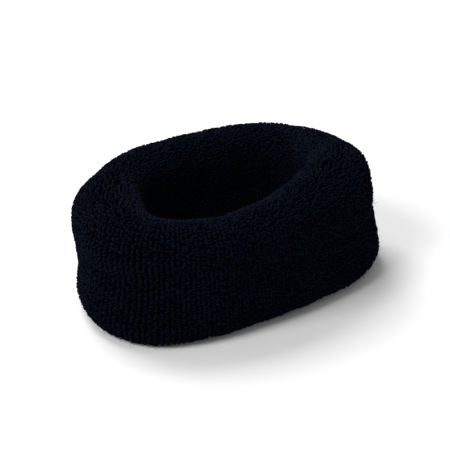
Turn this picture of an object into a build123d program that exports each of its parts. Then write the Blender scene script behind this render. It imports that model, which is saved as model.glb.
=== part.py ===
"""A narrow terry-cloth sweat wristband, relaxed and lying on one rim.

A tube of circular-knit terry is turned back on itself, so that the wall is double. Its two cut
ends meet halfway up the wrist side, turn in between the plies and are overlocked together there.
The cloth is a ground knit with pile loops on its face, and covered elastic yarn is laid in against
its back.

Frame: Z runs along the wrist and X along the band's long axis. The origin is on the surface that
the band lies on, under the middle of its opening. Everything is in millimetres.
"""

from build123d import *

import os
from math import atan2, ceil, cos, degrees, radians, sin

# Outside of the relaxed band.
LENGTH = 84.0  # along X
WIDTH = 58.0  # along Y
HEIGHT = 34.0  # along the wrist
END_RADIUS = 17.0  # of the middle of the wall, where the oval turns round its two ends

# Section of the double wall: a roll at each rim, joined by a slimmer waist.
WALL = 15.0
WAIST = 12.6
WAIST_FILLET = 10.0
REST_FLAT = 0.3  # how far the band's own weight flattens the lower roll

# Layers of the cloth, from its face to its back.
PILE = 3.4
GROUND = 1.0
CLOTH = PILE + GROUND

# Covered elastic yarn.
ELASTIC_RADIUS = 0.3
ELASTIC_CLEARANCE = 0.1
ELASTIC_PITCH = 2.75
SEAM_KEEP_OUT = 3.0  # on the wrist side, no turn lies nearer than this to the seam

# Seam on the wrist side, and its three overlock threads.
SEAM_GAP = 0.2
LIP_LENGTH = 2.2  # of the two seam allowances that turn in between the plies
NEEDLE_TO_EDGE = 1.3
THREAD_RADIUS = 0.2
PULLED_RADIUS = 0.16  # of a thread where a stitch pulls it through or across the cloth
THREAD_CLEARANCE = 0.05
STITCH_PITCH = 3.2

ROLL_RADIUS = WALL / 2
TOP_ROLL = HEIGHT - ROLL_RADIUS
BOTTOM_ROLL = ROLL_RADIUS - REST_FLAT
MID_ROLLS = (TOP_ROLL + BOTTOM_ROLL) / 2
SEAM_HEIGHT = HEIGHT / 2

# The middle of the wall runs round an oval of four tangent arcs.
HALF_LENGTH = (LENGTH - WALL) / 2
HALF_WIDTH = (WIDTH - WALL) / 2
END_CENTRE = HALF_LENGTH - END_RADIUS
RISE = HALF_WIDTH - END_RADIUS
SIDE_CENTRE = (END_CENTRE**2 - RISE**2) / (2 * RISE)
SIDE_RADIUS = HALF_WIDTH + SIDE_CENTRE
JUNCTION = degrees(atan2(SIDE_CENTRE, END_CENTRE))  # direction in which an end arc becomes a side arc

# Each arc's centre, its radius, and the directions at which it starts and ends.
OVAL = (
    (Vector(END_CENTRE, 0), END_RADIUS, -JUNCTION, JUNCTION),
    (Vector(0, -SIDE_CENTRE), SIDE_RADIUS, JUNCTION, 180 - JUNCTION),
    (Vector(-END_CENTRE, 0), END_RADIUS, 180 - JUNCTION, 180 + JUNCTION),
    (Vector(0, SIDE_CENTRE), SIDE_RADIUS, 180 + JUNCTION, 360 - JUNCTION),
)


def wall_plane(centre, radius, direction):
    """The upright plane across the wall at one place: local X points outwards, local Y up."""
    outward = Vector(cos(radians(direction)), sin(radians(direction)))
    return Plane(centre + outward * radius, x_dir=outward, z_dir=outward.cross(Vector(0, 0, 1)))


def carry_round_oval(section):
    """Adds the ring that a section of the wall makes when it is carried round the oval."""
    for centre, radius, start, end in OVAL:
        with BuildSketch(wall_plane(centre, radius, start)) as profile:
            add(section)
        revolve(profile.sketch, axis=Axis(centre, (0, 0, 1)), revolution_arc=end - start)


def planes_round_oval(pitch, inwards=0.0, shift=0.0):
    """Wall planes about one pitch apart, at a distance inwards, shifted by a part of the pitch."""
    planes = []
    for centre, radius, start, end in OVAL:
        count = ceil(radians(end - start) * radius / pitch)
        for i in range(count):
            direction = start + (end - start) * (i + 0.5 + shift) / count
            planes.append(wall_plane(centre, radius - inwards, direction))
    return planes


def wall_outline(inset):
    """The double wall's outline, drawn in by an inset: two rolls joined by a slimmer waist."""
    with BuildSketch() as outline:
        with Locations((0, TOP_ROLL), (0, BOTTOM_ROLL)):
            Circle(ROLL_RADIUS - inset)
        with Locations((0, MID_ROLLS)):
            Rectangle(WAIST - 2 * inset, TOP_ROLL - BOTTOM_ROLL)
        widest = ROLL_RADIUS - inset
        hollows = outline.vertices().filter_by(lambda corner: abs(corner.X) < widest - 0.01)
        fillet(hollows, WAIST_FILLET + inset)
    return outline.sketch


def thread_spot(across, height):
    """The round section of a sewing thread, with its start point away from where stitches join."""
    with BuildSketch() as spot:
        with Locations(Location((across, height, 0), (0, 0, 180))):
            Circle(THREAD_RADIUS)
    return spot.sketch


# Pile loops: the face of the cloth, inside and out, flattened where the band rests and parted by
# the seam on the wrist side.
with BuildSketch() as pile_section:
    add(wall_outline(0))
    add(wall_outline(PILE), mode=Mode.SUBTRACT)
    Rectangle(2 * WALL, 2 * WALL, align=(Align.CENTER, Align.MAX), mode=Mode.SUBTRACT)
    with Locations((0, SEAM_HEIGHT)):
        Rectangle(WALL, SEAM_GAP, align=(Align.MAX, Align.CENTER), mode=Mode.SUBTRACT)

with BuildPart() as terry_pile:
    carry_round_oval(pile_section.sketch)
terry_pile.part.label = "terry_pile"

# Ground knit: the back of the cloth, with the two seam allowances turned in between the plies.
WRIST_BACK = WAIST / 2 - CLOTH  # the back of the wrist-side cloth, from the middle of the wall
LIP_EDGE = LIP_LENGTH - WRIST_BACK
LIPS = 2 * GROUND + SEAM_GAP
with BuildSketch() as ground_section:
    add(wall_outline(PILE))
    add(wall_outline(CLOTH), mode=Mode.SUBTRACT)
    with Locations((-WRIST_BACK, SEAM_HEIGHT)):
        Rectangle(LIP_LENGTH, LIPS, align=(Align.MIN, Align.CENTER))
    with Locations((LIP_EDGE, SEAM_HEIGHT)):
        Rectangle(WALL, SEAM_GAP, align=(Align.MAX, Align.CENTER), mode=Mode.SUBTRACT)

# Seam threads: where each lies, across the wall and in height.
THREAD_OFF = THREAD_RADIUS + THREAD_CLEARANCE  # from a face of the cloth to a thread's middle
NEEDLE_LINE = LIP_EDGE - NEEDLE_TO_EDGE
BEYOND_EDGE = LIP_EDGE + THREAD_OFF
ABOVE_LIPS = SEAM_HEIGHT + LIPS / 2 + THREAD_OFF
BELOW_LIPS = SEAM_HEIGHT - LIPS / 2 - THREAD_OFF
needle_planes = planes_round_oval(STITCH_PITCH, inwards=-NEEDLE_LINE)
looper_planes = planes_round_oval(STITCH_PITCH, shift=0.25)

with BuildPart() as ground_knit:
    carry_round_oval(ground_section.sketch)
    with Locations([plane.origin + Vector(0, 0, SEAM_HEIGHT) for plane in needle_planes]):
        Cylinder(PULLED_RADIUS + THREAD_CLEARANCE, 2 * LIPS, mode=Mode.SUBTRACT)
ground_knit.part.label = "ground_knit"

# Needle thread: runs along the upper lip and goes down through both lips at every stitch.
with BuildPart() as needle_thread:
    carry_round_oval(thread_spot(NEEDLE_LINE, ABOVE_LIPS))
    leg = ABOVE_LIPS - BELOW_LIPS - 2 * THREAD_OFF
    with Locations([plane.origin + Vector(0, 0, ABOVE_LIPS) for plane in needle_planes]):
        Cylinder(PULLED_RADIUS, leg, align=(Align.CENTER, Align.CENTER, Align.MAX))
needle_thread.part.label = "needle_thread"


def add_looper_bights(start, corner, end):
    """Adds one bent length of thread at every stitch, through three points of the wall plane."""
    bights = []
    for plane in looper_planes:
        with BuildLine(plane) as path:
            FilletPolyline(start, corner, end, radius=2 * THREAD_RADIUS)
        with BuildSketch(Plane(path.line @ 0, z_dir=path.line % 0)) as thread:
            Circle(PULLED_RADIUS)
        bights.append(sweep(thread.sketch, path=path.wire(), mode=Mode.PRIVATE))
    add(bights)


# Upper looper thread: runs along the edges of the lips and reaches back over the upper lip.
with BuildPart() as upper_looper_thread:
    carry_round_oval(thread_spot(BEYOND_EDGE, SEAM_HEIGHT + THREAD_OFF))
    add_looper_bights(
        (NEEDLE_LINE + 2 * THREAD_OFF, ABOVE_LIPS),
        (BEYOND_EDGE, ABOVE_LIPS),
        (BEYOND_EDGE, SEAM_HEIGHT + THREAD_OFF),
    )
upper_looper_thread.part.label = "upper_looper_thread"

# Lower looper thread: runs under the needle's stitches and reaches out round the edges.
with BuildPart() as lower_looper_thread:
    carry_round_oval(thread_spot(NEEDLE_LINE, BELOW_LIPS))
    add_looper_bights(
        (NEEDLE_LINE, BELOW_LIPS),
        (BEYOND_EDGE, BELOW_LIPS),
        (BEYOND_EDGE, SEAM_HEIGHT - THREAD_OFF),
    )
lower_looper_thread.part.label = "lower_looper_thread"

# Elastic yarn: its turns are evenly spaced along the back of the cloth, from the seam round again.
elastic_path = wall_outline(CLOTH + ELASTIC_CLEARANCE + ELASTIC_RADIUS).wire()
turn_count = round(elastic_path.length / ELASTIC_PITCH)
turn_spots = [elastic_path.position_at(i / turn_count) for i in range(turn_count)]
turn_spots = [
    spot for spot in turn_spots if spot.X > 0 or abs(spot.Y - SEAM_HEIGHT) > SEAM_KEEP_OUT
]

elastic_turns = []
for number, spot in enumerate(turn_spots, start=1):
    with BuildSketch() as yarn_section:
        with Locations(spot):
            Circle(ELASTIC_RADIUS)
    with BuildPart() as elastic_turn:
        carry_round_oval(yarn_section.sketch)
    elastic_turn.part.label = f"elastic_turn_{number:02d}"
    elastic_turns.append(elastic_turn.part)

os.makedirs("parts", exist_ok=True)
export_step(terry_pile.part, "parts/terry_pile.step")
export_step(ground_knit.part, "parts/ground_knit.step")
export_step(needle_thread.part, "parts/needle_thread.step")
export_step(upper_looper_thread.part, "parts/upper_looper_thread.step")
export_step(lower_looper_thread.part, "parts/lower_looper_thread.step")
for turn in elastic_turns:
    export_step(turn, f"parts/{turn.label}.step")
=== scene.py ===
"""A relaxed terry-cloth sweat wristband lying on one rim, on a plain pale floor.

The cloth's backing is one closed ring of mesh, shaped from listed swells and then swollen and wrinkled
by cloth simulation. Every pile loop is its own bent piece of yarn, planted on that backing.

Directions round the band are in degrees: 0 is its far end, 180 its near end and -90 its near side.
"""

import math

import bpy
import numpy as np
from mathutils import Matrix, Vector


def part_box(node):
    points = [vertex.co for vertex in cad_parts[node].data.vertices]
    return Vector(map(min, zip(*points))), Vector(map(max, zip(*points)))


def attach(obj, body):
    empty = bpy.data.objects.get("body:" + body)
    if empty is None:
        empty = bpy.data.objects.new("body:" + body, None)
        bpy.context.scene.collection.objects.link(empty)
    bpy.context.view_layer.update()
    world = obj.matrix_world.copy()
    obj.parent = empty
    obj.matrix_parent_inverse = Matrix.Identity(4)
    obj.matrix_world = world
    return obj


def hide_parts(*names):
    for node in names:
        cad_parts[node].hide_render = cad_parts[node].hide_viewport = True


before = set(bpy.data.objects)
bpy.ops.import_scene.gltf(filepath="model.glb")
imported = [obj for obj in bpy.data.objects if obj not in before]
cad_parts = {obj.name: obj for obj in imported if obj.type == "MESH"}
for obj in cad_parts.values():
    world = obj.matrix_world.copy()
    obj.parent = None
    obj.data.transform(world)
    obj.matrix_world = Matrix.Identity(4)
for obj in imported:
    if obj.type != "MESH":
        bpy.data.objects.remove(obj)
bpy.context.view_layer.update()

MM = 0.001
SEED = 7
TINY = 1e-9  # keeps a length that is divided by from being zero

# Outside of the relaxed band.
band_low, band_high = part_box("terry_pile")
LENGTH, WIDTH, HEIGHT = band_high - band_low
WALL = 15.0 * MM  # both plies together
OVAL_POWER = 2.25  # of the band seen from above: 2 is an ellipse, and more is fuller at its corners

# How the band lies. Each row is an amount in mm, the direction round the band where it is greatest, and
# the spread over which it fades. The two bulges also have a height and a width up the band, in shares of
# half its height, counted from its middle.
LEAN_OUT = ((1.6, -178, 60),)
LEAN_OUT_AT_TOP = ((-1.5, 0, 50), (-0.6, 172, 45))
LEAN_OUT_AT_BOTTOM = ((5.0, -152, 36), (3.2, -24, 30), (2.6, -58, 30))
NEAR_END_BULGE = ((1.5, -178, 40),)
NEAR_END_BULGE_UP = (0.42, 0.28)
FAR_END_BULGE = ((1.7, -27, 32),)
FAR_END_BULGE_UP = (0.15, 0.40)
INTO_OPENING = ((3.5, 180, 45), (1.5, -30, 42), (-1.2, -128, 32))
INTO_OPENING_AT_TOP = ((3.0, -30, 42), (2.5, 150, 35))
RISE_AT_TOP = ((2.0, -42, 34), (-0.9, -130, 30), (0.7, 95, 55))
SINK_AT_TOP = 1.2
RIPPLES = ((0.4, 3, 0.6), (0.3, 5, 2.1))  # amounts in mm, waves round the band, and phases
BOTTOM_EASE = 0.7  # powers by which a lean grows towards the bottom, and a rise towards the top
RISE_EASE = 1.5
SIDE_BLEND = 2 * MM  # over which the wrist side gives way to the outer side

# The waist between the rolls, in shares of the wall and of half the height.
WAIST_DEPTH = 0.20
WAIST_SHALLOWER = ((0.06, 180, 55), (0.12, 0, 60))
WAIST_LOWER = ((0.35, 180, 60),)
WAIST_WAVE = 0.05
WAIST_WIDTH = 0.3

# The soft crease under the near side's upper roll, and the roll that bulges over it. Depths are in mm,
# and heights and widths in shares of half the height.
CREASE_DIRECTION = -110  # where it has this height
CREASE_HEIGHT = 0.35
CREASE_CLIMB = 0.004  # in each degree round the band
CREASE_DEPTH = 0.9
CREASE_WIDTH = 0.09
ROLL_BULGE = 0.7
ROLL_ABOVE_CREASE = 0.27
ROLL_WIDTH = 0.16
CREASE_REACH = ((1.0, -128, 46),)  # the share of it there is, round the band

# Unevenness of the whole backing.
UNEVEN = 0.15 * MM
UNEVEN_WAVES = (14, 5)  # at most, round the band and along the section

# Backing.
AROUND = 192  # its points round the band
ALONG = 96  # and from the seam round the section
HOLD = 0.13  # how firmly the simulation holds the backing to its shape, from 0 to 1
SEAM_DEPTH = 0.7 * MM  # of the groove along the seam
SEAM_HALF_WIDTH = 0.9 * MM

# Pile: loops of yarn on the face of the cloth.
PILE = 1.5 * MM  # height of the relaxed loops
PRESSED_PILE = 0.9 * MM  # and of those under the band
WALES = 180  # columns of loops, round the band
COURSES = 124  # rows of loops, from the seam over both rolls and back to it
YARN_RADIUS = 0.23 * MM
LOOP_HALF_WIDTH = 0.43 * MM
LOOP_POINTS = 6
LOOP_BEND = 125  # degrees from a loop's top to each of its ends
LOOP_ROOT = 0.44  # how far below its arc's middle a loop is rooted, in radii
YARN_AT_ROOT = 0.85  # the yarn's thickness there, and how much fuller it is at a loop's top
YARN_FULLER = 0.2

# How uneven the loops are: the lowest and highest share of each size, and the spread of the rest.
WIDTH_SHARES = (0.8, 1.2)
HEIGHT_SHARES = (0.86, 1.06)
THICKNESS_SHARES = (0.85, 1.15)
OFF_COLUMN = 0.09  # columns
OFF_ROW = 0.16  # rows
TWIST = 0.55  # radians
OWN_LEAN = (0.14, 0.30)  # round the band and along the section, in heights of the loop
SHARED_LEAN = (0.08, 0.14)  # the part of it that neighbours have in common
SHARED_LEAN_WAVES = (26, 14)
YARN_WANDER = 0.03 * MM

# The pile is kept in pieces by region, in shares of the way from the seam round the section.
REGIONS = {
    "lower_roll": (0.135, 0.365),
    "outer_side": (0.365, 0.635),
    "upper_roll": (0.635, 0.865),
    "wrist_side": (0.865, 1.135),
}

# Fine fibres that stand out of the pile.
FIBRES = 4000
FIBRE_RADIUS = 0.028 * MM
FIBRE_POINTS = 4
FIBRE_START = 0.5  # of its reach, where a fibre leaves its loop
FIBRE_TIP = 0.5  # of its radius, at its end
FIBRE_PROUD = (2.0, 0.22)  # shape and scale, in mm, of how far the fibres reach beyond the pile
FIBRE_DRIFT = 0.27  # sideways, in reaches
FIBRE_CURL = 0.3

rng = np.random.default_rng(SEED)


# ---------------------------------------------------------------- grids and meshes


def smooth_noise(shape, waves):
    """Periodic noise on a grid, of about unit size, from a few low waves with random phases."""
    terms = 24
    u = np.linspace(0, 2 * math.pi, shape[0], endpoint=False)[:, None]
    v = np.linspace(0, 2 * math.pi, shape[1], endpoint=False)[None, :]
    total = np.zeros(shape)
    for _ in range(terms):
        a = rng.integers(-waves[0], waves[0] + 1)
        b = rng.integers(-waves[1], waves[1] + 1)
        total += np.cos(a * u + b * v + rng.uniform(0, 2 * math.pi))
    return total / math.sqrt(terms / 2)


def even_steps(points, count):
    """Points evenly spaced along a closed line, from its first point."""
    closed = np.vstack([points, points[:1]])
    run = np.concatenate([[0], np.cumsum(np.linalg.norm(np.diff(closed, axis=0), axis=1))])
    at = np.linspace(0, run[-1], count, endpoint=False)
    return np.column_stack([np.interp(at, run, closed[:, k]) for k in range(points.shape[1])])


def unit(vectors):
    return vectors / np.linalg.norm(vectors, axis=-1, keepdims=True)


def grid_directions(grid):
    """Unit directions round the band, along the section and out of the cloth, at every grid point."""
    around = unit(np.roll(grid, -1, axis=0) - np.roll(grid, 1, axis=0))
    along = unit(np.roll(grid, -1, axis=1) - np.roll(grid, 1, axis=1))
    return around, along, unit(np.cross(around, along))


def sample(grid, u, v):
    """Values of a periodic grid at fractions u round it and v along it."""
    n, m = grid.shape[:2]
    x, y = u * n, v * m
    i, j = np.floor(x).astype(int), np.floor(y).astype(int)
    fx, fy = (x - i)[:, None], (y - j)[:, None]
    i, j = i % n, j % m
    i_next, j_next = (i + 1) % n, (j + 1) % m
    near = grid[i, j] * (1 - fx) + grid[i_next, j] * fx
    far = grid[i, j_next] * (1 - fx) + grid[i_next, j_next] * fx
    return near * (1 - fy) + far * fy


def mesh_object(name, vertices, quads, uvs=None):
    """A smooth mesh of quads; uvs, where given, has one pair for each corner of each quad."""
    mesh = bpy.data.meshes.new(name)
    mesh.vertices.add(len(vertices))
    mesh.vertices.foreach_set("co", np.asarray(vertices, np.float32).ravel())
    mesh.loops.add(quads.size)
    mesh.loops.foreach_set("vertex_index", quads.astype(np.int32).ravel())
    mesh.polygons.add(len(quads))
    mesh.polygons.foreach_set("loop_start", np.arange(0, quads.size, 4, dtype=np.int32))
    mesh.polygons.foreach_set("use_smooth", np.full(len(quads), True))
    mesh.update(calc_edges=True)
    if uvs is not None:
        layer = mesh.uv_layers.new(name="OFBake")
        layer.uv.foreach_set("vector", np.asarray(uvs, np.float32).ravel())
    piece = bpy.data.objects.new(name, mesh)
    bpy.context.collection.objects.link(piece)
    return piece


def ring_quads(n, m):
    """Quads of a closed ring of n by m points, facing out of the cloth, and their corners' UVs."""
    i, j = np.meshgrid(np.arange(n), np.arange(m), indexing="ij")
    i, j = i.ravel(), j.ravel()
    i_next, j_next = (i + 1) % n, (j + 1) % m
    quads = np.column_stack([i * m + j, i_next * m + j, i_next * m + j_next, i * m + j_next])
    corners = np.stack([(i, j), (i + 1, j), (i + 1, j + 1), (i, j + 1)]).transpose(2, 0, 1)
    return quads, corners / (n, m)


def tubes(lines, radii):
    """Vertices, quads and UVs of closed four-sided tubes, each with its own cell of the UV map.

    lines is (count, rings, 3) and radii is (count, rings).
    """
    sides = 4
    margin = 0.06  # left free all round a cell
    count, rings = lines.shape[:2]
    run = unit(np.gradient(lines, axis=1))
    bow = np.cross(run[:, 0], lines[:, rings // 2] - lines[:, 0])
    bow = bow[:, None, :] + TINY
    first = unit(bow - run * (bow * run).sum(axis=2, keepdims=True))
    second = np.cross(run, first)
    turn = np.linspace(0, 2 * math.pi, sides, endpoint=False)[None, None, :, None]
    ring = first[:, :, None, :] * np.cos(turn) + second[:, :, None, :] * np.sin(turn)
    vertices = (lines[:, :, None, :] + ring * radii[:, :, None, None]).reshape(-1, 3)

    r, s = np.meshgrid(np.arange(rings - 1), np.arange(sides), indexing="ij")
    r, s = r.ravel(), s.ravel()
    s_next = (s + 1) % sides
    wall = np.column_stack(
        [r * sides + s, r * sides + s_next, (r + 1) * sides + s_next, (r + 1) * sides + s]
    )
    last = (rings - 1) * sides
    ends = np.array([(3, 2, 1, 0), (last, last + 1, last + 2, last + 3)])
    one = np.vstack([wall, ends])
    quads = (one[None] + (np.arange(count) * rings * sides)[:, None, None]).reshape(-1, 4)

    steps = rings + 1  # the walls' strips, and one at each end for a cap
    wall_uvs = np.stack([(r + 1, s), (r + 1, s + 1), (r + 2, s + 1), (r + 2, s)])
    cap_uvs = np.array([[(0, 0), (0, sides), (1, sides), (1, 0)]])
    cap_uvs = np.concatenate([cap_uvs, cap_uvs + (rings, 0)])
    cell = np.concatenate([wall_uvs.transpose(2, 0, 1), cap_uvs]) / (steps, sides)
    cells = math.ceil(math.sqrt(count))
    places = np.column_stack([np.arange(count) % cells, np.arange(count) // cells])
    uvs = (places[:, None, None, :] + margin + (1 - 2 * margin) * cell[None]) / cells
    return vertices, quads, uvs


# ---------------------------------------------------------------- shape of the backing


def oval(count):
    """The middle of the wall, seen from above, and its outward directions."""
    fine_steps = 4000
    a, b = (LENGTH - WALL) / 2, (WIDTH - WALL) / 2
    t = np.linspace(0, 2 * math.pi, fine_steps, endpoint=False)
    c, s = np.cos(t), np.sin(t)
    power = 2 / OVAL_POWER
    fine = np.column_stack([a * np.sign(c) * abs(c) ** power, b * np.sign(s) * abs(s) ** power])
    points = even_steps(fine, count)
    along = unit(np.roll(points, -1, axis=0) - np.roll(points, 1, axis=0))
    return points, np.column_stack([along[:, 1], -along[:, 0]])


def section(count):
    """The section of the backing, from the seam on the wrist side down and round."""
    fine_steps = 200
    radius = WALL / 2 - PILE
    middle = HEIGHT / 2
    reach = middle - WALL / 2
    turn = np.linspace(0, math.pi, fine_steps)
    lower_roll = np.column_stack([-np.cos(turn), -np.sin(turn)]) * radius + (0, middle - reach)
    upper_roll = np.column_stack([np.cos(turn), np.sin(turn)]) * radius + (0, middle + reach)
    return even_steps(np.vstack([[(-radius, middle)], lower_roll, upper_roll]), count)


def hill(value, centre, width):
    """1 where the value is at the centre, and fading smoothly over the width."""
    return np.exp(-(((value - centre) / width) ** 2))


def swells(way, rows):
    """The sum of smooth swells round the band; a row is an amount, a direction and a spread."""
    total = 0
    for amount, direction, spread in rows:
        off = (np.degrees(way) - direction + 180) % 360 - 180
        total = total + amount * hill(off, 0, spread)
    return total


def backing_grid():
    """Points of the backing as it lies: a ring that sags, leans and dips from place to place."""
    middle, outward = oval(AROUND)
    across, height = section(ALONG).T[:, None, :]
    way = np.arctan2(middle[:, 1] / WIDTH, middle[:, 0] / LENGTH)[:, None]
    up = (height - HEIGHT / 2) / (HEIGHT / 2)
    top = np.clip(up, 0, 1)
    bottom = np.clip(-up, 0, 1) ** BOTTOM_EASE
    wrist_side = 0.5 - 0.5 * np.tanh(across / SIDE_BLEND)

    waist_depth = WAIST_DEPTH - swells(way, WAIST_SHALLOWER)
    waist_height = WAIST_WAVE * np.sin(2 * way) - swells(way, WAIST_LOWER)
    waist = 1 - waist_depth * hill(up, waist_height, WAIST_WIDTH)

    lean = (
        swells(way, LEAN_OUT)
        + swells(way, LEAN_OUT_AT_TOP) * top
        + swells(way, LEAN_OUT_AT_BOTTOM) * bottom
        + swells(way, NEAR_END_BULGE) * hill(up, *NEAR_END_BULGE_UP)
        + swells(way, FAR_END_BULGE) * hill(up, *FAR_END_BULGE_UP)
    )
    for amount, waves, phase in RIPPLES:
        lean = lean + amount * np.cos(waves * way + phase)
    into_opening = swells(way, INTO_OPENING) + swells(way, INTO_OPENING_AT_TOP) * top

    crease_height = CREASE_HEIGHT + CREASE_CLIMB * (np.degrees(way) - CREASE_DIRECTION)
    crease = CREASE_DEPTH * hill(up, crease_height, CREASE_WIDTH)
    bulge = ROLL_BULGE * hill(up, crease_height + ROLL_ABOVE_CREASE, ROLL_WIDTH)
    outer_fold = (1 - wrist_side) * (bulge - crease) * swells(way, CREASE_REACH)

    out = across * waist + (lean + outer_fold - wrist_side * into_opening) * MM
    out += np.sign(across) * UNEVEN * smooth_noise((AROUND, ALONG), UNEVEN_WAVES)
    rise = swells(way, RISE_AT_TOP) - SINK_AT_TOP
    z = height + rise * top**RISE_EASE * MM
    xy = middle[:, None, :] + outward[:, None, :] * out[:, :, None]
    return np.concatenate([xy, z[:, :, None]], axis=2)


def settle(grid):
    """The grid after cloth simulation: air pressure fills it, and its spare cloth wrinkles.

    It is simulated at ten times its size, which is where the cloth's default masses and stiffnesses
    suit its pressure.
    """
    enlarged = 10
    swelling = 0.35 * MM
    most_move = 1.4 * MM
    frames = 20
    start = grid - grid_directions(grid)[2] * swelling
    quads, _ = ring_quads(AROUND, ALONG)
    piece = mesh_object("settling", start.reshape(-1, 3) * enlarged, quads)
    held = piece.vertex_groups.new(name="held")
    held.add(range(AROUND * ALONG), HOLD, "REPLACE")
    cloth = piece.modifiers.new("cloth", "CLOTH")
    cloth.settings.quality = 5
    cloth.settings.use_pressure = True
    cloth.settings.uniform_pressure_force = 4
    cloth.settings.shrink_min = -0.02  # the cloth is this much larger than the shape it starts in
    cloth.settings.effector_weights.gravity = 0
    cloth.settings.vertex_group_mass = "held"
    cloth.point_cache.frame_start = 1
    cloth.point_cache.frame_end = frames
    for number in range(1, frames + 1):
        bpy.context.scene.frame_set(number)
    settled = piece.evaluated_get(bpy.context.evaluated_depsgraph_get()).data
    points = np.empty(len(settled.vertices) * 3, np.float32)
    settled.vertices.foreach_get("co", points)
    bpy.data.objects.remove(piece)
    bpy.context.scene.frame_set(1)

    move = points.reshape(grid.shape) / enlarged - start
    length = np.linalg.norm(move, axis=2, keepdims=True) + TINY
    return start + move / length * most_move * np.tanh(length / most_move)


def press_underside(grid):
    """The grid with its lowest line brought to the height of the pressed pile, all the way round."""
    pressed = grid.copy()
    lowest = grid[:, :, 2].min(axis=1, keepdims=True)
    low_share = np.clip(1 - (grid[:, :, 2] - lowest) / (HEIGHT / 2), 0, 1)
    pressed[:, :, 2] -= (lowest - PRESSED_PILE) * low_share
    return pressed


def groove_seam(grid):
    """The grid with a narrow groove on the wrist side, where the cloth turns in between the plies."""
    from_seam = np.minimum(np.arange(ALONG), ALONG - np.arange(ALONG)) / ALONG
    girth = np.linalg.norm(np.roll(grid, -1, axis=1) - grid, axis=2).sum(axis=1).mean()
    groove = hill(from_seam * girth, 0, SEAM_HALF_WIDTH)
    return grid - grid_directions(grid)[2] * (SEAM_DEPTH * groove)[None, :, None]


# ---------------------------------------------------------------- yarn


def pile_loops(grid):
    """Lines and radii of the loops, and where each is: its share of the section, and its side.

    Each loop is an arch across its column, twisted and leaning; neighbours lean much the same way.
    """
    around, along, out = grid_directions(grid)
    wale, course = np.meshgrid(np.arange(WALES), np.arange(COURSES), indexing="ij")
    wale, course = wale.ravel(), course.ravel()
    count = len(wale)
    u = (wale + 0.5 + rng.normal(0, OFF_COLUMN, count)) / WALES
    v = (course + 0.5 + rng.normal(0, OFF_ROW, count)) / COURSES
    root = sample(grid, u, v)
    side_way = sample(around, u, v)
    course_way = sample(along, u, v)
    out_way = sample(out, u, v)

    shared = np.stack([smooth_noise((AROUND, ALONG), SHARED_LEAN_WAVES) for _ in range(2)], axis=2)
    shared = sample(shared, u, v)
    half = LOOP_HALF_WIDTH * rng.uniform(*WIDTH_SHARES, count)
    tall = (PILE - YARN_RADIUS) * rng.uniform(*HEIGHT_SHARES, count)
    twist = rng.normal(0, TWIST, count)
    lean_u = rng.normal(0, OWN_LEAN[0], count) + SHARED_LEAN[0] * shared[:, 0]
    lean_v = rng.normal(0, OWN_LEAN[1], count) + SHARED_LEAN[1] * shared[:, 1]

    bend = np.radians(np.linspace(-LOOP_BEND, LOOP_BEND, LOOP_POINTS))
    sideways = np.sin(bend)
    upwards = (np.cos(bend) + LOOP_ROOT) / (1 + LOOP_ROOT)
    cross = side_way * np.cos(twist)[:, None] + course_way * np.sin(twist)[:, None]
    bent = tall[:, None] * upwards**2
    lines = (
        root[:, None, :]
        + cross[:, None, :] * (half[:, None] * sideways)[:, :, None]
        + out_way[:, None, :] * (tall[:, None] * upwards)[:, :, None]
        + side_way[:, None, :] * (lean_u[:, None] * bent)[:, :, None]
        + course_way[:, None, :] * (lean_v[:, None] * bent)[:, :, None]
    )
    lines += rng.normal(0, YARN_WANDER, lines.shape)
    thickness = YARN_RADIUS * rng.uniform(*THICKNESS_SHARES, count)
    radii = thickness[:, None] * (YARN_AT_ROOT + YARN_FULLER * upwards)
    lines[:, :, 2] = np.maximum(lines[:, :, 2], radii)  # none goes through the floor
    return lines, radii, (course + 0.5) / COURSES, root[:, 1] < 0


def pile_pieces(grid, yarn):
    """The loops as mesh objects, one for each region's front and back."""
    lines, radii, place, front = pile_loops(grid)
    first_start = REGIONS["lower_roll"][0]
    place = np.where(place < first_start, place + 1, place)
    pieces = []
    for region, (start, end) in REGIONS.items():
        for side, on_side in (("front", front), ("back", ~front)):
            mine = (place >= start) & (place < end) & on_side
            loops = mesh_object(f"terry_{region}_{side}", *tubes(lines[mine], radii[mine]))
            loops.data.materials.append(yarn)
            pieces.append(loops)
    return pieces


def stray_fibres(grid, yarn):
    """Fine curling fibres, from inside the pile to a little way out of it."""
    u, v = rng.uniform(0, 1, FIBRES), rng.uniform(0, 1, FIBRES)
    root = sample(grid, u, v)
    out_way = sample(grid_directions(grid)[2], u, v)
    reach = PILE + MM * rng.gamma(*FIBRE_PROUD, FIBRES)
    drift = rng.normal(0, FIBRE_DRIFT, (FIBRES, 3))
    curl = rng.normal(0, FIBRE_CURL, (FIBRES, 3))
    step = np.linspace(FIBRE_START, 1, FIBRE_POINTS)
    lines = root[:, None, :] + reach[:, None, None] * (
        out_way[:, None, :] * step[None, :, None]
        + drift[:, None, :] * (step - FIBRE_START)[None, :, None]
        + curl[:, None, :] * ((step - FIBRE_START) ** 2)[None, :, None]
    )
    taper = np.linspace(1, FIBRE_TIP, FIBRE_POINTS)
    radii = np.full((FIBRES, FIBRE_POINTS), FIBRE_RADIUS) * taper
    lines[:, :, 2] = np.maximum(lines[:, :, 2], radii)
    fibres = mesh_object("stray_fibres", *tubes(lines, radii))
    fibres.data.materials.append(yarn)
    return fibres


# ---------------------------------------------------------------- materials


def principled(name, roughness, specular):
    """A material with a Principled shader, and its node tree and shader."""
    material = bpy.data.materials.new(name)
    material.use_nodes = True
    shader = material.node_tree.nodes["Principled BSDF"]
    shader.inputs["Roughness"].default_value = roughness
    shader.inputs["Specular IOR Level"].default_value = specular
    return material, material.node_tree, shader


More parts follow.
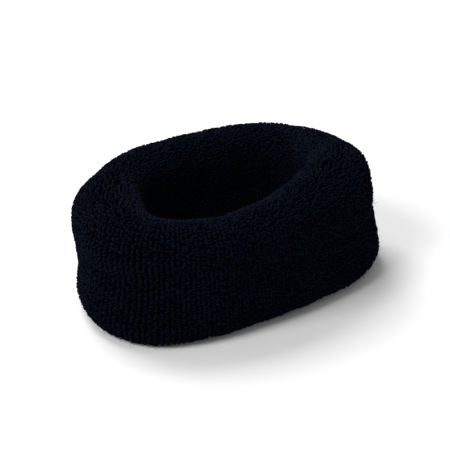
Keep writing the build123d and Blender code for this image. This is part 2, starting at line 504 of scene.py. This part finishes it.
def add_node(tree, kind, inputs, **settings):
    """Adds a node with its settings, and sets or links each of its inputs."""
    made = tree.nodes.new(kind)
    for name, value in settings.items():
        setattr(made, name, value)
    for key, value in inputs.items():
        if isinstance(value, bpy.types.NodeSocket):
            tree.links.new(value, made.inputs[key])
        else:
            made.inputs[key].default_value = value
    return made


def noise(tree, where, scale, detail=2.0):
    made = add_node(
        tree, "ShaderNodeTexNoise", {"Vector": where, "Scale": scale, "Detail": detail}
    )
    return made.outputs["Fac"]


def remap(tree, value, low, high, start=0.25, end=0.75):
    """A value, brought from its range between start and end to the one between low and high."""
    made = add_node(
        tree,
        "ShaderNodeMapRange",
        {"Value": value, "From Min": start, "From Max": end, "To Min": low, "To Max": high},
    )
    return made.outputs["Result"]


def blend(tree, factor, dark, light):
    """A colour between two others; 6, 7 and 2 are the mix node's colour sockets."""
    made = add_node(
        tree,
        "ShaderNodeMix",
        {"Factor": factor, 6: (*dark, 1), 7: (*light, 1)},
        data_type="RGBA",
    )
    return made.outputs[2]


def maths(tree, operation, a, b=0.0):
    return add_node(tree, "ShaderNodeMath", {0: a, 1: b}, operation=operation).outputs[0]


def relief(tree, height, distance):
    """The normal of a surface that a texture raises by up to this distance."""
    made = add_node(tree, "ShaderNodeBump", {"Height": height, "Distance": distance})
    return made.outputs["Normal"]


def terry_yarn():
    """Soft navy yarn: each loop has its own shade, and its fibres catch the light unevenly."""
    material, tree, shader = principled("terry_yarn", roughness=0.9, specular=0.02)
    shader.inputs["Sheen Weight"].default_value = 0.05
    shader.inputs["Sheen Tint"].default_value = (0.12, 0.18, 0.35, 1)
    shader.inputs["Sheen Roughness"].default_value = 0.45
    where = tree.nodes.new("ShaderNodeTexCoord").outputs["Object"]
    own = tree.nodes.new("ShaderNodeNewGeometry").outputs["Random Per Island"]
    worn = remap(tree, noise(tree, where, scale=70), low=-0.2, high=0.25)
    fibre = remap(tree, noise(tree, where, scale=4500, detail=3), low=-0.3, high=0.3)
    shade = maths(tree, "ADD", maths(tree, "ADD", own, worn), fibre)
    colour = blend(
        tree, shade, dark=(0.0012, 0.0020, 0.0052), light=(0.0029, 0.0046, 0.0106)
    )
    tree.links.new(colour, shader.inputs["Base Color"])
    rough = remap(tree, noise(tree, where, scale=900), low=0.8, high=0.98)
    tree.links.new(rough, shader.inputs["Roughness"])
    tree.links.new(relief(tree, fibre, 0.05 * MM), shader.inputs["Normal"])
    return material


def ground_yarn():
    """The knit behind the pile, in its own rows and columns; its colour is darker than the pile's yarn
    as painted shade between the loops.
    """
    material, tree, shader = principled("ground_knit_yarn", roughness=0.9, specular=0.0)
    uv = add_node(tree, "ShaderNodeUVMap", {}, uv_map="OFBake").outputs["UV"]
    where = tree.nodes.new("ShaderNodeTexCoord").outputs["Object"]
    part = add_node(tree, "ShaderNodeSeparateXYZ", {0: uv})
    columns = maths(tree, "SINE", maths(tree, "MULTIPLY", part.outputs[0], 2 * math.pi * WALES))
    rows = maths(tree, "SINE", maths(tree, "MULTIPLY", part.outputs[1], 2 * math.pi * COURSES))
    stitch = remap(tree, maths(tree, "ADD", columns, rows), low=0, high=1, start=-2, end=2)
    worn = remap(tree, noise(tree, where, scale=1200), low=0.6, high=1.0)
    shade = maths(tree, "MULTIPLY", stitch, worn)
    # Painted shade: these colours are darker than the pile yarn's, so the gaps between loops read as
    # shadow; the stitch rows and columns are the knit's own pattern.
    colour = blend(
        tree, shade, dark=(0.0005, 0.0008, 0.0020), light=(0.0010, 0.0015, 0.0038)
    )
    tree.links.new(colour, shader.inputs["Base Color"])
    rough = remap(tree, stitch, low=0.95, high=0.82, start=0, end=1)
    tree.links.new(rough, shader.inputs["Roughness"])
    tree.links.new(relief(tree, stitch, 0.15 * MM), shader.inputs["Normal"])
    return material


def wound_yarn(name, dark, light, turns, depth):
    """Yarn round the band, twisted or wrapped so that it has this many turns in one ring."""
    rise_per_turn = 0.8 * MM
    material, tree, shader = principled(name, roughness=0.6, specular=0.2)
    where = tree.nodes.new("ShaderNodeTexCoord").outputs["Object"]
    part = add_node(tree, "ShaderNodeSeparateXYZ", {0: where})
    angle = maths(tree, "ARCTAN2", part.outputs[1], part.outputs[0])
    slant = maths(tree, "MULTIPLY", part.outputs[2], 2 * math.pi / rise_per_turn)
    phase = maths(tree, "ADD", maths(tree, "MULTIPLY", angle, turns), slant)
    wound = remap(tree, maths(tree, "SINE", phase), low=0, high=1, start=-1, end=1)
    worn = remap(tree, noise(tree, where, scale=1500), low=0.6, high=1.0)
    shade = maths(tree, "MULTIPLY", wound, worn)
    tree.links.new(blend(tree, shade, dark, light), shader.inputs["Base Color"])
    rough = remap(tree, wound, low=0.8, high=0.55, start=0, end=1)
    tree.links.new(rough, shader.inputs["Roughness"])
    tree.links.new(relief(tree, wound, depth), shader.inputs["Normal"])
    return material


def floor_paint():
    """A pale matt floor with the faintest mottling."""
    material, tree, shader = principled("floor_paint", roughness=0.9, specular=0.0)
    where = tree.nodes.new("ShaderNodeTexCoord").outputs["Object"]
    mottle = noise(tree, where, scale=30)
    colour = blend(tree, mottle, dark=(0.79,) * 3, light=(0.81,) * 3)
    tree.links.new(colour, shader.inputs["Base Color"])
    tree.links.new(remap(tree, mottle, low=0.88, high=0.92), shader.inputs["Roughness"])
    return material


# ---------------------------------------------------------------- band

grid = backing_grid()
grid = settle(grid)
grid = groove_seam(press_underside(grid))

quads, corner_uvs = ring_quads(AROUND, ALONG)
backing = mesh_object("ground_cloth", grid.reshape(-1, 3), quads, corner_uvs)
backing.data.materials.append(ground_yarn())

yarn = terry_yarn()
pile = pile_pieces(grid, yarn)
pile.append(stray_fibres(grid, yarn))

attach(backing, "root")
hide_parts("ground_knit")
for piece in pile:
    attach(piece, "root")
    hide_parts("terry_pile")

sewing_thread = wound_yarn(
    "sewing_thread",
    dark=(0.006, 0.007, 0.012),
    light=(0.012, 0.013, 0.022),
    turns=520,
    depth=0.04 * MM,
)
elastic = wound_yarn(
    "covered_elastic",
    dark=(0.013, 0.013, 0.016),
    light=(0.026, 0.026, 0.031),
    turns=420,
    depth=0.06 * MM,
)
for name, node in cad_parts.items():
    if name.endswith("_thread"):
        node.material_slots[0].material = sewing_thread
    elif name.startswith("elastic_turn"):
        node.material_slots[0].material = elastic

# ---------------------------------------------------------------- floor, light and camera

FLOOR_SIZE = 6.0
WORLD_STRENGTH = 0.42
LAMP_DISTANCE = 1.2
VIEW_AZIMUTH = -35.0
VIEW_ELEVATION = 28.5
VIEW_DISTANCE = 0.59
VIEW_WIDTH = 0.122  # of the picture, at the band
SENSOR_WIDTH = 36.0
AIM_HEIGHT = 0.47  # of the band's height


def backwards(azimuth, elevation):
    """The direction from the band towards a viewer or a lamp at these angles, in degrees."""
    a, e = math.radians(azimuth), math.radians(elevation)
    return Vector((math.sin(a) * math.cos(e), -math.cos(a) * math.cos(e), math.sin(e)))


def area_light(name, size, power, azimuth, elevation):
    """A square lamp that faces the band."""
    light = bpy.data.lights.new(name, "AREA")
    light.shape = "SQUARE"
    light.size = size
    light.energy = power
    lamp = bpy.data.objects.new(name, light)
    back = backwards(azimuth, elevation)
    lamp.location = back * LAMP_DISTANCE
    lamp.rotation_euler = (-back).to_track_quat("-Z", "Y").to_euler()
    bpy.context.collection.objects.link(lamp)


bpy.ops.mesh.primitive_plane_add(size=FLOOR_SIZE)
floor = bpy.context.object
floor.name = "floor"
floor.data.materials.append(floor_paint())

world = bpy.data.worlds.new("studio")
bpy.context.scene.world = world
world.use_nodes = True
background = world.node_tree.nodes["Background"]
background.inputs["Color"].default_value = (1, 1, 1, 1)
background.inputs["Strength"].default_value = WORLD_STRENGTH

area_light("key", size=0.7, power=13, azimuth=178, elevation=54)
area_light("side", size=0.5, power=9.5, azimuth=-88, elevation=45)

camera_data = bpy.data.cameras.new("camera")
camera_data.sensor_width = SENSOR_WIDTH
camera_data.lens = SENSOR_WIDTH * VIEW_DISTANCE / VIEW_WIDTH
camera = bpy.data.objects.new("camera", camera_data)
bpy.context.collection.objects.link(camera)
back = backwards(VIEW_AZIMUTH, VIEW_ELEVATION)
camera.location = Vector((0, 0, HEIGHT * AIM_HEIGHT)) + back * VIEW_DISTANCE
camera.rotation_euler = (-back).to_track_quat("-Z", "Y").to_euler()
bpy.context.scene.camera = camera
bpy.context.scene.view_settings.view_transform = "Standard"
